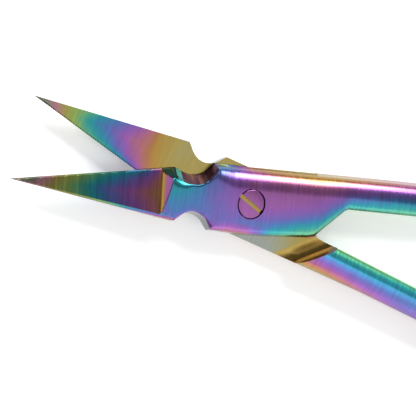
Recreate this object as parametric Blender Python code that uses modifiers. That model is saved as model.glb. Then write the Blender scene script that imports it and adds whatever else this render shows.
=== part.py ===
"""Fine-point shears: two forged halves on a flush slotted pivot screw.

Metres, +Z up. The origin is on the pivot axis at the plane the shears rest on. The front half lies on
top, with its tip towards -X and its ring towards +X. The back half is the same kind of forging turned
over, and stands open by REST_OPENING. Half-local frame: tip at -X, cutting edge towards +Y, inner face
at z = 0 and outer face at z = HALF_THICKNESS; a shank and a ring also fill the other half's layer.
"""
import math

import bmesh
import bpy
import numpy as np
from mathutils import Matrix

MM = 0.001

# Overall sizes
TIP_REACH = 36.4 * MM            # pivot axis to blade tip
RING_REACH = 60.0 * MM           # pivot axis to ring centre, along the shank
HALF_THICKNESS = 2.1 * MM        # one half at the joint
FACE_GAP = 0.25 * MM             # air between the two inner faces
REST_OPENING = math.radians(18.9)

# Blade
HEEL_REACH = 11.9 * MM           # pivot axis to the heel of the cutting edge
HEEL_RISE = 4.0 * MM             # heel above the tip-pivot line
SPINE_REACH = {"front": 11.8 * MM, "back": 12.2 * MM}
SPINE_DROP = {"front": 3.8 * MM, "back": 4.15 * MM}
FACET_END = 14.1 * MM            # pivot axis to the end of the ground facet
RUN_OUT_STEP = 0.22 * MM         # step where the ground facet stops, then a ramp up to the body
RUN_OUT_STEEP = 3.5
RUN_OUT_SLOPE = 0.9
EDGE_LAND = 0.06 * MM            # thickness left at the cutting edge
BEVEL_WIDTH = 0.18 * MM
BEVEL_HEIGHT = 0.26 * MM
SPINE_HEIGHT_TIP = 0.32 * MM
SPINE_HEIGHT_HEEL = 2.0 * MM
SPINE_CHAMFER_TIP = 0.14 * MM
SPINE_CHAMFER_HEEL = 0.8 * MM

# Joint and shank
NOTCH_END = 5.8 * MM             # pivot axis to the end of both notches
EDGE_NOTCH_Y = 3.2 * MM          # bottom of the notch behind the heel, inner face
EDGE_NOTCH_DRAFT = 1.15 * MM
LIP_RUN = 1.0 * MM               # the outer face leaves the edge this far before the heel
SPINE_NOTCH_Y = 2.45 * MM        # bottom of the notch behind the spine, inner face
SPINE_NOTCH_DRAFT = 0.5 * MM
JOINT_OUTER = 5.2 * MM           # outer side of the joint
SHANK_OUTER = {"front": 5.5 * MM, "back": 4.5 * MM}
SHANK_INNER = {"front": 0.25 * MM, "back": 0.0 * MM}
SHANK_START = 24.0 * MM          # pivot axis to where the shank has its full width
STRAIGHT_START = 28.0 * MM       # pivot axis to where the sections stand square to the shank
SHANK_END = 3.0 * MM             # the shank ends inside the ring's wall, this far before its centre
THIN_START = 36.0 * MM           # pivot axis to where the shank starts to thin towards the ring
SHANK_THINNING = 0.9 * MM
WALL_OVERLAP = 0.3 * MM          # how far the end of the shank reaches into the ring's wall
JOINT_LOWER = 4.9 * MM           # other side of the joint
SIDE_DRAFT = 0.25 * MM
NECK_RISE = 0.25 * MM            # end of the spine's notch above the joint's lower side
CROWN = 0.25 * MM                # fall of the outer face at CROWN_HALF from its middle
CROWN_HALF = 5.0 * MM
# Rounded edges of the outer face, on the cutting edge's side and on the other: x, width, height (mm)
UPPER_ROUND = [(-14.0, 1.5, 1.1), (-12.3, 1.9, 1.15), (-10.7, 1.1, 0.7), (-9.5, 0.25, 0.18),
               (-7.6, 0.25, 0.18), (-6.5, 0.9, 0.6), (-5.4, 2.0, 1.2), (-3.0, 3.0, 1.6)]
LOWER_ROUND = [(-13.0, 1.2, 0.5), (-10.8, 0.4, 0.25), (-7.4, 0.35, 0.2), (-5.6, 1.5, 0.7),
               (-2.5, 2.4, 0.95), (12.0, 2.0, 1.0)]
BACK_ROUND = ((1.8, 1.2), (2.4, 1.8))   # shank's other face: the same, width and height (mm)
CORNER = (12.6 * MM, 3.4 * MM)   # front half: joint corner where its diagonal starts
DIAGONAL_RISE = 3.7 * MM
DIAGONAL_RUN = 3.9 * MM

# Shoulder from the joint face to the full thickness, parallel to the closed half's diagonal
SHOULDER_GAP = 0.34 * MM
GROOVE_WIDTH = 2.4 * MM
GROOVE_DEPTH = 0.18 * MM
GROOVE_FADE = 1.2 * MM           # the groove runs out over this width at the outer side

# Ring and what it carries
RING_BORE = 10.6 * MM
RING_WALL = 3.2 * MM
RING_ROUND = 1.0 * MM
RING_SPACE = 2.8 * MM            # between the two rings when the shears are closed
INSERT_WALL = 1.4 * MM
INSERT_GAP = 0.25 * MM
INSERT_ROUND = 0.6 * MM
INSERT_INSET = 0.1 * MM          # insert below the ring's faces
BUMPER_RADIUS = 1.6 * MM
BUMPER_STEM_RADIUS = 0.8 * MM
BUMPER_STEM_LENGTH = 1.3 * MM
BUMPER_SEAT = 0.12 * MM          # bumper head below the ring it is fixed in
BUMPER_ROUND = 0.5 * MM
REST_ANGLE = math.radians(-24)
REST_STEM_RADIUS = 0.75 * MM
REST_STEM_DEPTH = 1.8 * MM
REST_RADIUS = 1.45 * MM
REST_LENGTH = 17.0 * MM

# Pivot
HEAD_RADIUS = 2.1 * MM
HEAD_HEIGHT = 0.85 * MM
HEAD_SINK = 0.03 * MM            # head below the crown of the front half
SLOT_WIDTH = 0.6 * MM
SLOT_DEPTH = 0.4 * MM
SLOT_ANGLE = math.radians(-31)
SCREW_RADIUS = 1.5 * MM
HEAD_BREAK = 0.11 * MM           # broken edges of the head and of the screw's end
SCREW_END_BREAK = 0.25 * MM
GLIDE_RADIUS = 3.3 * MM
GLIDE_THICKNESS = 0.22 * MM
GLIDE_RECESS = 0.3 * MM
FIT_GAP = 0.28 * MM              # clearance of everything that turns or seats

FULL_DROP = HALF_THICKNESS + FACE_GAP
THICKNESS = 2 * HALF_THICKNESS + FACE_GAP
RING_RADIUS = RING_BORE + RING_WALL
RING_Y = RING_RADIUS + RING_SPACE / 2
RING_X = RING_REACH

# Sections of the loft
COLUMNS = 10                     # points across a face
ROW_STEP = 3.0 * MM
GROOVE_ROWS = 6
GROOVE_LEAD = {"front": 2.6 * MM, "back": 1.2 * MM}     # where the sections start to turn, before it
JOINT_TURN = [(-1.0 * MM, -3.4 * MM), (CORNER[0] - 6.0 * MM, -1.2 * MM)]
SHANK_TURN = (4.0 * MM, 6.5 * MM)

# Coated steel: mean colour and roughness
COATS = {
    "front_half": ((0.36, 0.25, 0.42), 0.28),
    "back_half": ((0.25, 0.42, 0.45), 0.28),
    "pivot_screw": ((0.42, 0.25, 0.40), 0.30),
}


def clear_scene():
    for item in list(bpy.data.objects):
        bpy.data.objects.remove(item, do_unlink=True)


def collection(name):
    group = bpy.data.collections.new(name)
    bpy.context.scene.collection.children.link(group)
    return group


def material(name, colour, roughness, metallic):
    mat = bpy.data.materials.new(name)
    mat.use_nodes = True
    shader = mat.node_tree.nodes["Principled BSDF"]
    shader.inputs["Base Color"].default_value = (*colour, 1)
    shader.inputs["Roughness"].default_value = roughness
    shader.inputs["Metallic"].default_value = metallic
    return mat


def add_object(name, mesh, group, mat=None):
    item = bpy.data.objects.new(name, mesh)
    group.objects.link(item)
    if mat:
        mesh.materials.append(mat)
    return item


def curve_through(points, steps=6):
    """A smooth line through the points (Catmull-Rom), as an array of rows."""
    pts = np.array(points)
    padded = np.vstack([2 * pts[0] - pts[1], pts, 2 * pts[-1] - pts[-2]])
    rows = []
    for k in range(len(pts) - 1):
        a, b, c, d = padded[k:k + 4]
        for t in np.arange(steps) / steps:
            rows.append(0.5 * (2 * b + (c - a) * t + (2 * a - 5 * b + 4 * c - d) * t ** 2
                               + (3 * b - a - 3 * c + d) * t ** 3))
    return np.vstack([rows, pts[-1]])


def notch(start, bottom, end):
    """A rounded notch: three side points, with the bottom flattened between them."""
    (x0, y0), (x1, y1), (x2, y2) = start, bottom, end
    left = (0.5 * (x0 + x1), y1 + 0.22 * (y0 - y1))
    right = (0.45 * x1 + 0.55 * x2, y1 + 0.30 * (y2 - y1))
    return curve_through([start, left, bottom, right, end])


def shoulder_normal():
    """Unit vector across the shoulder, and the distance of the closed half's diagonal along it."""
    length = math.hypot(DIAGONAL_RUN, DIAGONAL_RISE)
    across = (DIAGONAL_RISE / length, DIAGONAL_RUN / length)
    return across, across[0] * CORNER[0] + across[1] * CORNER[1]


def outlines(side):
    """Inner-face and outer-face side lines of a half, each with x rising: lower, then upper."""
    heel = (-HEEL_REACH, HEEL_RISE)
    spine = (-SPINE_REACH[side], -SPINE_DROP[side])
    tip = (-TIP_REACH, 0.0)
    end = -NOTCH_END
    mid = 0.5 * (end - HEEL_REACH)
    shank = [(0.0, JOINT_OUTER), (SHANK_START, SHANK_OUTER[side]), (RING_X - RING_BORE, SHANK_OUTER[side]),
             (RING_X - SHANK_END, RING_Y - RING_BORE - WALL_OVERLAP)]
    upper_in = np.vstack([[tip], notch(heel, (mid, EDGE_NOTCH_Y), (end, JOINT_OUTER)), shank])
    left = 1 - LIP_RUN / (TIP_REACH - HEEL_REACH)
    lip = (-HEEL_REACH - LIP_RUN, HEEL_RISE * left - BEVEL_WIDTH)
    low = (mid, EDGE_NOTCH_Y - EDGE_NOTCH_DRAFT)
    drafted = [(x, y - SIDE_DRAFT) for x, y in shank]
    upper_out = np.vstack([[tip], notch(lip, low, (end, JOINT_OUTER - SIDE_DRAFT)), drafted])

    neck = notch(spine, (mid, -SPINE_NOTCH_Y), (end, NECK_RISE - JOINT_LOWER))
    joint = [(0.0, -JOINT_LOWER), (0.33 * CORNER[0], -JOINT_LOWER + 0.1 * MM)]
    inner = SHANK_INNER[side]
    if side == "front":
        root_x = CORNER[0] + DIAGONAL_RUN
        joint += [(CORNER[0] - 2.0 * MM, -JOINT_LOWER + 0.4 * MM),
                  (CORNER[0] - 0.9 * MM, -CORNER[1] - 0.85 * MM),
                  (CORNER[0], -CORNER[1]),
                  (root_x - 0.35 * MM, DIAGONAL_RISE - CORNER[1] - 0.33 * MM),
                  (root_x + 0.25 * MM, inner + 0.02 * MM), (root_x + 1.2 * MM, inner)]
    else:
        joint += [(CORNER[0] - 4.6 * MM, -JOINT_LOWER + 0.4 * MM),
                  (CORNER[0] - 1.7 * MM, -CORNER[1] + 0.2 * MM),
                  (CORNER[0] - 0.1 * MM, -CORNER[1] + 1.8 * MM),
                  (CORNER[0] + 0.4 * MM, inner - 0.5 * MM),
                  (CORNER[0] + 1.1 * MM, inner - 0.08 * MM),
                  (CORNER[0] + 2.2 * MM, inner)]
    ring_side = RING_Y - RING_RADIUS
    joint += [(RING_X - 1.3 * RING_RADIUS, inner), (RING_X - 0.75 * RING_RADIUS, inner + 0.15 * ring_side),
              (RING_X - 0.4 * RING_RADIUS, inner + 0.5 * ring_side), (RING_X, ring_side + 0.25 * RING_WALL)]
    lower_in = np.vstack([[tip], neck, joint])
    drafted = [(x, y + SIDE_DRAFT) for x, y in joint]
    low = (mid, SPINE_NOTCH_DRAFT - SPINE_NOTCH_Y)
    neck = notch((spine[0], spine[1] + SIDE_DRAFT), low, (end, SIDE_DRAFT + NECK_RISE - JOINT_LOWER))
    lower_out = np.vstack([[tip], neck, drafted])
    return lower_in, lower_out, upper_in, upper_out


def side_at(line, x):
    return np.interp(x, line[:, 0], line[:, 1])


def stations(side, fine):
    """Where each section crosses the lower and the upper side; the sections turn to the shoulder."""
    across, closed = shoulder_normal()
    wall = closed + SHOULDER_GAP
    lower_in, _, upper_in, _ = outlines(side)
    probe = np.linspace(0, 0.4 * RING_X, 4000)
    height = across[0] * probe + across[1] * side_at(lower_in, probe)
    pairs = [(-NOTCH_END, -NOTCH_END)] + JOINT_TURN
    lowest = closed - GROOVE_WIDTH - GROOVE_LEAD[side]
    rows = np.linspace(lowest, wall - GROOVE_WIDTH, 4)[:-1]
    rows = np.concatenate([rows, wall - GROOVE_WIDTH * np.linspace(1, 0, fine + 1), [wall + 0.08 * MM]])
    for n in rows:
        outside = probe[np.argmax((height >= n) & (probe > CORNER[0] - 2.0 * MM))]
        far = 0.0
        for _ in range(4):
            far = (n - across[1] * side_at(upper_in, far)) / across[0]
        pairs.append((outside, far))
    pairs += [tuple(np.add(pairs[-1], SHANK_TURN)), (STRAIGHT_START, STRAIGHT_START)]
    return pairs


def spread(pairs, step):
    """Fill between station pairs so that no gap is longer than a step."""
    filled = [pairs[0]]
    for a, b in zip(pairs, pairs[1:]):
        count = max(1, math.ceil(max(b[0] - a[0], b[1] - a[1]) / step))
        filled += [tuple(np.add(a, np.subtract(b, a) * k / count)) for k in range(1, count + 1)]
    return filled


def distance_to(line, x, y):
    """Shortest distance in plan from each point to a side line."""
    best = np.full(np.shape(x), 1.0)
    for (ax, ay), (bx, by) in zip(line, line[1:]):
        dx, dy = bx - ax, by - ay
        t = np.clip(((x - ax) * dx + (y - ay) * dy) / max(dx * dx + dy * dy, 1e-18), 0, 1)
        best = np.minimum(best, np.hypot(x - ax - t * dx, y - ay - t * dy))
    return best


def fillet(distance, width, height):
    """Height lost on an elliptical rounded edge at a distance inside it."""
    inside = np.clip(1 - distance / width, 0, 1)
    return height * (1 - np.sqrt(1 - inside ** 2))


def outer_height(side, lines, x, y):
    """Height of the outer face: crowned body, cut by the blade's ground facet and its bevels."""
    lower_in, lower_out, upper_in, upper_out = lines
    middle = 0.5 * (side_at(lower_out, x) + side_at(upper_out, x))
    lost = CROWN * ((y - middle) / CROWN_HALF) ** 2
    reach = (distance_to(lower_out, x, y), side_at(upper_out, x) - y)
    for distance, sizes in zip(reach, (LOWER_ROUND, UPPER_ROUND)):
        place, width, height = np.array(sizes).T * MM
        lost = lost + fillet(distance, np.interp(x, place, width), np.interp(x, place, height))
    body = HALF_THICKNESS - lost

    along = np.clip((x + TIP_REACH) / (TIP_REACH - HEEL_REACH), 0, 1)
    low, high = side_at(lower_in, x), side_at(upper_in, x)
    width = np.maximum(high - low, 0.1 * MM)
    spine = SPINE_HEIGHT_TIP + (SPINE_HEIGHT_HEEL - SPINE_HEIGHT_TIP) * along
    chamfer = SPINE_CHAMFER_TIP + (SPINE_CHAMFER_HEEL - SPINE_CHAMFER_TIP) * along
    past = np.maximum(x + FACET_END, 0)
    rise = np.minimum(RUN_OUT_STEEP * past, RUN_OUT_STEP + RUN_OUT_SLOPE * past)
    facet = BEVEL_HEIGHT + (spine - BEVEL_HEIGHT) * (high - y) / width + rise
    back = np.where(x < -SPINE_REACH[side], spine - chamfer + 0.9 * (y - low), 1.0)
    bevel = np.where(x < -HEEL_REACH, EDGE_LAND + (high - y) * BEVEL_HEIGHT / BEVEL_WIDTH, 1.0)
    height = np.minimum(np.minimum(body, facet), np.minimum(back, bevel))
    return np.maximum(height, EDGE_LAND)


def inner_height(lines, x, y):
    """Height of the inner face: flat joint, groove, then the shoulder to the full thickness."""
    across, closed = shoulder_normal()
    n = across[0] * x + across[1] * y
    wall = closed + SHOULDER_GAP
    dip = np.clip((n - wall + GROOVE_WIDTH) / GROOVE_WIDTH, 0, 1)
    fade = np.clip((side_at(lines[2], x) - y) / GROOVE_FADE, 0, 1)
    groove = GROOVE_DEPTH * np.sin(math.pi * dip ** 1.3) * fade
    full = -FULL_DROP
    for line, (width, height) in zip((lines[0], lines[2]), BACK_ROUND):
        full = full + fillet(distance_to(line, x, y), width * MM, height * MM)
    return np.where(n > wall + 0.04 * MM, full, np.where(n < 0, 0.0, groove))


def blade_and_shank(name, side):
    """Loft a half from its tip to the root of its ring."""
    lines = outlines(side)
    lower_in, lower_out, upper_in, upper_out = lines
    blade = [(x, x) for x in np.linspace(-TIP_REACH + 0.15 * MM, -FACET_END, 9)]
    run_out = [(x, x) for x in np.linspace(-FACET_END, -NOTCH_END, 20)[1:-1]]
    pairs = blade + run_out + spread(stations(side, GROOVE_ROWS), ROW_STEP)
    pairs += [(x, x) for x in np.linspace(STRAIGHT_START, RING_X - SHANK_END, 14)[1:]]
    v = 0.5 - 0.5 * np.cos(np.linspace(0, math.pi, COLUMNS))
    rings = []
    for low_x, high_x in pairs:
        taper = max(0.0, (low_x - THIN_START) / (RING_X - THIN_START)) * SHANK_THINNING
        x = low_x + (high_x - low_x) * v
        y_out = side_at(lower_out, low_x) * (1 - v) + side_at(upper_out, high_x) * v
        y_in = side_at(lower_in, low_x) * (1 - v) + side_at(upper_in, high_x) * v
        centre = 0.5 * (y_in[0] + y_in[-1])
        squeeze = 1 - taper / (y_in[-1] - y_in[0])
        y_out = centre + (y_out - centre) * squeeze
        y_in = centre + (y_in - centre) * squeeze
        outer = np.column_stack([x, y_out, outer_height(side, lines, x, y_out) - 0.5 * taper])
        inner = np.column_stack([x, y_in, inner_height(lines, x, y_in) + 0.5 * taper])
        rings.append(np.vstack([outer, inner[::-1]]))
    return loft(name, rings)


def loft(name, rings):
    count = len(rings[0])
    verts = np.vstack(rings)
    faces = []
    for k in range(len(rings) - 1):
        for j in range(count):
            a, b = k * count + j, k * count + (j + 1) % count
            faces.append((a, a + count, b + count, b))
    faces.append(tuple(range(count)))
    faces.append(tuple(reversed(range(len(verts) - count, len(verts)))))
    mesh = bpy.data.meshes.new(name)
    mesh.from_pydata(verts.tolist(), [], faces)
    form = bmesh.new()
    form.from_mesh(mesh)
    bmesh.ops.recalc_face_normals(form, faces=form.faces)
    form.to_mesh(mesh)
    form.free()
    return mesh


def apply_modifiers(item):
    """Replace an object's mesh by its evaluated one and drop its modifiers."""
    graph = bpy.context.evaluated_depsgraph_get()
    mesh = bpy.data.meshes.new_from_object(item.evaluated_get(graph))
    item.modifiers.clear()
    item.data = mesh


def turned(name, profile, group, steps=48, mat=None):
    """A turned solid: profile points (radius, z) run down its outer side."""
    mesh = bpy.data.meshes.new(name)
    closed = len(profile) > 2 and min(r for r, z in profile) > 0
    edges = [(k, k + 1) for k in range(len(profile) - 1)]
    if closed:
        edges.append((len(profile) - 1, 0))
    mesh.from_pydata([(r, 0, z) for r, z in profile], edges, [])
    item = add_object(name, mesh, group)
    screw = item.modifiers.new("turn", "SCREW")
    screw.steps = steps
    screw.render_steps = steps
    screw.use_merge_vertices = True
    screw.merge_threshold = 0.00001
    screw.use_normal_calculate = False
    apply_modifiers(item)
    if mat:
        item.data.materials.append(mat)
    return item


def rounded_profile(inner, outer, low, high, radius, arc=3):
    """A closed ring profile with rounded corners, down the outer side and up the inner one."""
    turns = [(outer - radius, high - radius, 90), (outer - radius, low + radius, 0),
             (inner + radius, low + radius, -90), (inner + radius, high - radius, -180)]
    points = []
    for cx, cz, start in turns:
        for k in range(arc + 1):
            angle = math.radians(start - 90 * k / arc)
            points.append((cx + radius * math.cos(angle), cz + radius * math.sin(angle)))
    return points


def cut(item, cutter, operation="DIFFERENCE"):
    boolean = item.modifiers.new(cutter.name, "BOOLEAN")
    boolean.operation = operation
    boolean.object = cutter
    boolean.solver = "EXACT"


def as_cutter(item):
    item.hide_render = True
    item.display_type = "WIRE"
    return item


def cylinder(name, radius, low, high, group, steps=48):
    """A plain cylinder cutter or pin on the Z axis."""
    return turned(name, [(0, high), (radius, high), (radius, low), (0, low)], group, steps)


def finish_half(item, mat):
    """Settle a half's joined shapes into one smooth-shaded mesh."""
    apply_modifiers(item)
    form = bmesh.new()
    form.from_mesh(item.data)
    bmesh.ops.dissolve_degenerate(form, edges=form.edges, dist=1e-6)
    form.to_mesh(item.data)
    form.free()
    item.data.materials.clear()
    item.data.materials.append(mat)
    item.data.shade_smooth()
    item.data.set_sharp_from_angle(angle=math.radians(28))


def make_half(name, side, parts, cutters):
    half = add_object(name, blade_and_shank(name, side), parts)
    ring = turned(name + "_ring", rounded_profile(RING_BORE, RING_RADIUS, -FULL_DROP, HALF_THICKNESS,
                                                 RING_ROUND), cutters, 44)
    ring.location = (RING_X, RING_Y, 0)
    as_cutter(ring)
    cut(half, ring, "UNION")
    return half


def local_to_world(side):
    """Placement of a half: the back one is turned over about X, then opened about Z."""
    if side == "front":
        return Matrix.Translation((0, 0, FULL_DROP))
    opening = Matrix.Rotation(-REST_OPENING, 4, "Z")
    return opening @ Matrix.Translation((0, 0, HALF_THICKNESS)) @ Matrix.Rotation(math.pi, 4, "X")


def make_pivot_cutters(cutters):
    """Seat and hole of the screw and the glide washer's recess, in each half's local frame."""
    head_low = HALF_THICKNESS - HEAD_SINK - HEAD_HEIGHT - FIT_GAP
    seat = cylinder("screw_seat", HEAD_RADIUS + FIT_GAP, head_low, 2 * HALF_THICKNESS, cutters, 64)
    hole = cylinder("screw_hole", SCREW_RADIUS + FIT_GAP, -HALF_THICKNESS, 2 * HALF_THICKNESS, cutters)
    recess = cylinder("glide_recess", GLIDE_RADIUS + FIT_GAP, -HALF_THICKNESS, GLIDE_RECESS, cutters)
    return [as_cutter(item) for item in (seat, hole, recess)]


def make_screw(parts, cutters, mat):
    top = FULL_DROP + HALF_THICKNESS - HEAD_SINK
    under = top - HEAD_HEIGHT
    profile = [(0, top), (HEAD_RADIUS - HEAD_BREAK, top), (HEAD_RADIUS, top - HEAD_BREAK),
               (HEAD_RADIUS, under), (SCREW_RADIUS, under), (SCREW_RADIUS, SCREW_END_BREAK),
               (SCREW_RADIUS - SCREW_END_BREAK, 0), (0, 0)]
    screw = turned("pivot_screw", profile, parts, 64)
    bpy.ops.mesh.primitive_cube_add(size=1)
    slot = bpy.context.active_object
    slot.name = "screw_slot"
    move_to(slot, cutters)
    slot.scale = (4 * HEAD_RADIUS, SLOT_WIDTH, 2 * SLOT_DEPTH)
    slot.rotation_euler = (0, 0, SLOT_ANGLE)
    slot.location = (0, 0, top)
    as_cutter(slot)
    cut(screw, slot)
    apply_modifiers(screw)
    screw.data.materials.append(mat)
    screw.data.shade_smooth()
    screw.data.set_sharp_from_angle(angle=math.radians(30))
    return screw


def make_glide_washer(parts, mat):
    low = HALF_THICKNESS + 0.5 * (FACE_GAP + GLIDE_RECESS - GLIDE_THICKNESS)
    profile = [(GLIDE_RADIUS, low + GLIDE_THICKNESS), (GLIDE_RADIUS, low),
               (SCREW_RADIUS + FIT_GAP, low), (SCREW_RADIUS + FIT_GAP, low + GLIDE_THICKNESS)]
    return turned("glide_washer", profile, parts, mat=mat)


def make_insert(name, side, parts, mat):
    """Soft sizing ring inside a finger ring, as high as the ring is."""
    outer = RING_BORE - INSERT_GAP
    half_height = 0.5 * THICKNESS - INSERT_INSET
    profile = rounded_profile(outer - INSERT_WALL, outer, -half_height, half_height, INSERT_ROUND)
    insert = turned(name, profile, parts, 44, mat)
    place = local_to_world(side) @ Matrix.Translation((RING_X, RING_Y, 0.5 * (HALF_THICKNESS - FULL_DROP)))
    insert.matrix_world = place
    insert.data.shade_smooth()
    return insert


def make_bumper(parts, cutters, half, mat):
    """Rubber stop in the front ring, facing the back ring; it just clears it when closed."""
    middle = 0.5 * (HALF_THICKNESS - FULL_DROP)
    ring_side = RING_Y - RING_RADIUS
    head_top = ring_side - BUMPER_SEAT
    tip = FIT_GAP - ring_side
    stem_top = ring_side + BUMPER_STEM_LENGTH
    profile = [(0, stem_top), (BUMPER_STEM_RADIUS, stem_top), (BUMPER_STEM_RADIUS, head_top),
               (BUMPER_RADIUS, head_top), (BUMPER_RADIUS, tip + BUMPER_ROUND),
               (BUMPER_RADIUS - BUMPER_ROUND, tip), (0, tip)]
    upright = Matrix.Translation((RING_X, 0, middle)) @ Matrix.Rotation(-math.pi / 2, 4, "X")
    bumper = turned("stop_bumper", profile, parts, 32, mat)
    bumper.matrix_world = local_to_world("front") @ upright
    hole = cylinder("bumper_hole", BUMPER_STEM_RADIUS + FIT_GAP, -2 * MM, stem_top + FIT_GAP, cutters, 24)
    hole.matrix_world = upright
    cut(half, as_cutter(hole))
    bumper.data.shade_smooth()
    bumper.data.set_sharp_from_angle(angle=math.radians(30))
    return bumper


def make_finger_rest(parts, cutters, half, mat):
    """Curved tang screwed in the end of the front ring; its ball end bends outwards."""
    out = Matrix.Rotation(REST_ANGLE, 4, "Z")
    middle = 0.5 * (HALF_THICKNESS - FULL_DROP)
    centre = Matrix.Translation((RING_X, RING_Y, middle)) @ out
    start = RING_RADIUS + FIT_GAP
    route = curve_through([(start, 0), (start + 0.35 * REST_LENGTH, -0.2 * MM),
                           (start + 0.75 * REST_LENGTH, -1.8 * MM), (start + REST_LENGTH, -4.6 * MM)], 5)
    rings = []
    for k, (x, y) in enumerate(route):
        share = k / (len(route) - 1)
        ahead = route[min(k + 1, len(route) - 1)] - route[max(k - 1, 0)]
        side_x, side_y = -ahead[1] / np.hypot(*ahead), ahead[0] / np.hypot(*ahead)
        radius = REST_RADIUS * (0.8 + 0.45 * share ** 2)
        rings.append([(x + side_x * radius * math.cos(a), y + side_y * radius * math.cos(a),
                       radius * math.sin(a)) for a in np.linspace(0, 2 * math.pi, 13)[:-1]])
    rest = add_object("finger_rest", loft("finger_rest", [np.array(r) for r in rings]), parts)
    end = route[-1]
    bpy.ops.mesh.primitive_uv_sphere_add(segments=16, ring_count=8, radius=REST_RADIUS * 1.3,
                                         location=(end[0], end[1], 0))
    ball = bpy.context.active_object
    ball.name = "rest_ball"
    move_to(ball, cutters)
    stem = cylinder("rest_stem", REST_STEM_RADIUS, start - REST_STEM_DEPTH, start + 1.0 * MM, cutters, 24)
    stem.matrix_world = Matrix.Rotation(math.pi / 2, 4, "Y")
    cut(rest, as_cutter(ball), "UNION")
    cut(rest, as_cutter(stem), "UNION")
    apply_modifiers(rest)
    rest.data.materials.append(mat)
    rest.matrix_world = local_to_world("front") @ centre
    rest.data.shade_smooth()
    rest.data.set_sharp_from_angle(angle=math.radians(35))
    hole = cylinder("rest_hole", REST_STEM_RADIUS + FIT_GAP, start - REST_STEM_DEPTH - FIT_GAP,
                    start + 2.0 * MM, cutters, 24)
    hole.matrix_world = centre @ Matrix.Rotation(math.pi / 2, 4, "Y")
    cut(half, as_cutter(hole))
    return rest


def move_to(item, group):
    for old in list(item.users_collection):
        old.objects.unlink(item)
    group.objects.link(item)


def main():
    clear_scene()
    parts = collection("fine_point_shears")
    cutters = collection("cutters")
    coats = {name: material(name + "_coat", colour, rough, 1.0) for name, (colour, rough) in COATS.items()}
    rubber = material("rubber", (0.03, 0.03, 0.035), 0.7, 0.0)
    nylon = material("nylon", (0.8, 0.8, 0.76), 0.45, 0.0)

    seat, hole, recess = make_pivot_cutters(cutters)
    front = make_half("front_half", "front", parts, cutters)
    back = make_half("back_half", "back", parts, cutters)
    for cutter in (seat, hole, recess):
        cut(front, cutter)
    cut(back, hole)
    make_bumper(parts, cutters, front, rubber)
    make_finger_rest(parts, cutters, front, coats["pivot_screw"])
    for half, side in ((front, "front"), (back, "back")):
        finish_half(half, coats[half.name])
        half.matrix_world = local_to_world(side)
    make_screw(parts, cutters, coats["pivot_screw"])
    make_glide_washer(parts, nylon)
    make_insert("finger_ring_insert", "front", parts, rubber)
    make_insert("thumb_ring_insert", "back", parts, rubber)


main()
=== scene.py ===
"""Looks of the fine-point shears: fine lofted halves, a rainbow coat over brushed steel, soft studio light.

Metres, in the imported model's frame. Half-local frame: tip at -X, cutting edge towards +Y, inner face at
z = 0 and outer face at z = HALF_THICKNESS, as the forgings are made.
"""
import math

import bmesh
import bpy
import numpy as np
from mathutils import Matrix, Vector


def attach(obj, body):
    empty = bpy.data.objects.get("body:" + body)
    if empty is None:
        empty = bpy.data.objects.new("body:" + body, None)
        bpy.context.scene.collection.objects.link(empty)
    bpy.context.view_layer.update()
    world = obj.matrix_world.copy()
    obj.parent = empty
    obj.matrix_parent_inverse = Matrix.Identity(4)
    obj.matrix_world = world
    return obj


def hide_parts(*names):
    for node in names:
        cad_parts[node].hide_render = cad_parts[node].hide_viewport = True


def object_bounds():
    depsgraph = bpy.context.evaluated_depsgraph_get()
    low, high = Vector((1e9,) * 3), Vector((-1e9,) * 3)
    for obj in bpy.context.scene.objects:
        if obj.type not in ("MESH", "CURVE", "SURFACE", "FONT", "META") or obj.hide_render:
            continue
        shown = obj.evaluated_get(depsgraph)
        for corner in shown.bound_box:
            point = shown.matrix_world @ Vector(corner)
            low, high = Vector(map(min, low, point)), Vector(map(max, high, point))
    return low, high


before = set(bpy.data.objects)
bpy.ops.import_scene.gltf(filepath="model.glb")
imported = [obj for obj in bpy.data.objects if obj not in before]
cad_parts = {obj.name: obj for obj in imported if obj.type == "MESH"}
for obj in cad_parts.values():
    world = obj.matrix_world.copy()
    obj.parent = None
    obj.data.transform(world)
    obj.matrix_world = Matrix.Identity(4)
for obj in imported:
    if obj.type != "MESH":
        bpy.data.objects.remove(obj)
CAD_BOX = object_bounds()
MM = 0.001

# Overall sizes
TIP_REACH = 36.4 * MM            # pivot axis to blade tip
RING_REACH = 60.0 * MM           # pivot axis to ring centre, along the shank
HALF_THICKNESS = 2.1 * MM        # one half at the joint
FACE_GAP = 0.25 * MM             # air between the two inner faces
REST_OPENING = math.radians(18.9)

# Blade
HEEL_REACH = 11.9 * MM           # pivot axis to the heel of the cutting edge
HEEL_RISE = 4.0 * MM             # heel above the tip-pivot line
SPINE_REACH = {"front": 11.8 * MM, "back": 12.2 * MM}
SPINE_DROP = {"front": 3.8 * MM, "back": 4.15 * MM}
FACET_END = 14.1 * MM            # pivot axis to the end of the ground facet
RUN_OUT_STEP = 0.22 * MM         # step where the ground facet stops, then a ramp up to the body
RUN_OUT_STEEP = 3.5
RUN_OUT_SLOPE = 0.9
EDGE_LAND = 0.06 * MM            # thickness left at the cutting edge
BEVEL_WIDTH = 0.18 * MM
BEVEL_HEIGHT = 0.26 * MM
SPINE_HEIGHT_TIP = 0.32 * MM
SPINE_HEIGHT_HEEL = 2.0 * MM
SPINE_CHAMFER_TIP = 0.14 * MM
SPINE_CHAMFER_HEEL = 0.8 * MM
CHAMFER_SLOPE = 0.9
THINNEST = 0.1 * MM              # narrowest width taken for the blade's tip

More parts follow.
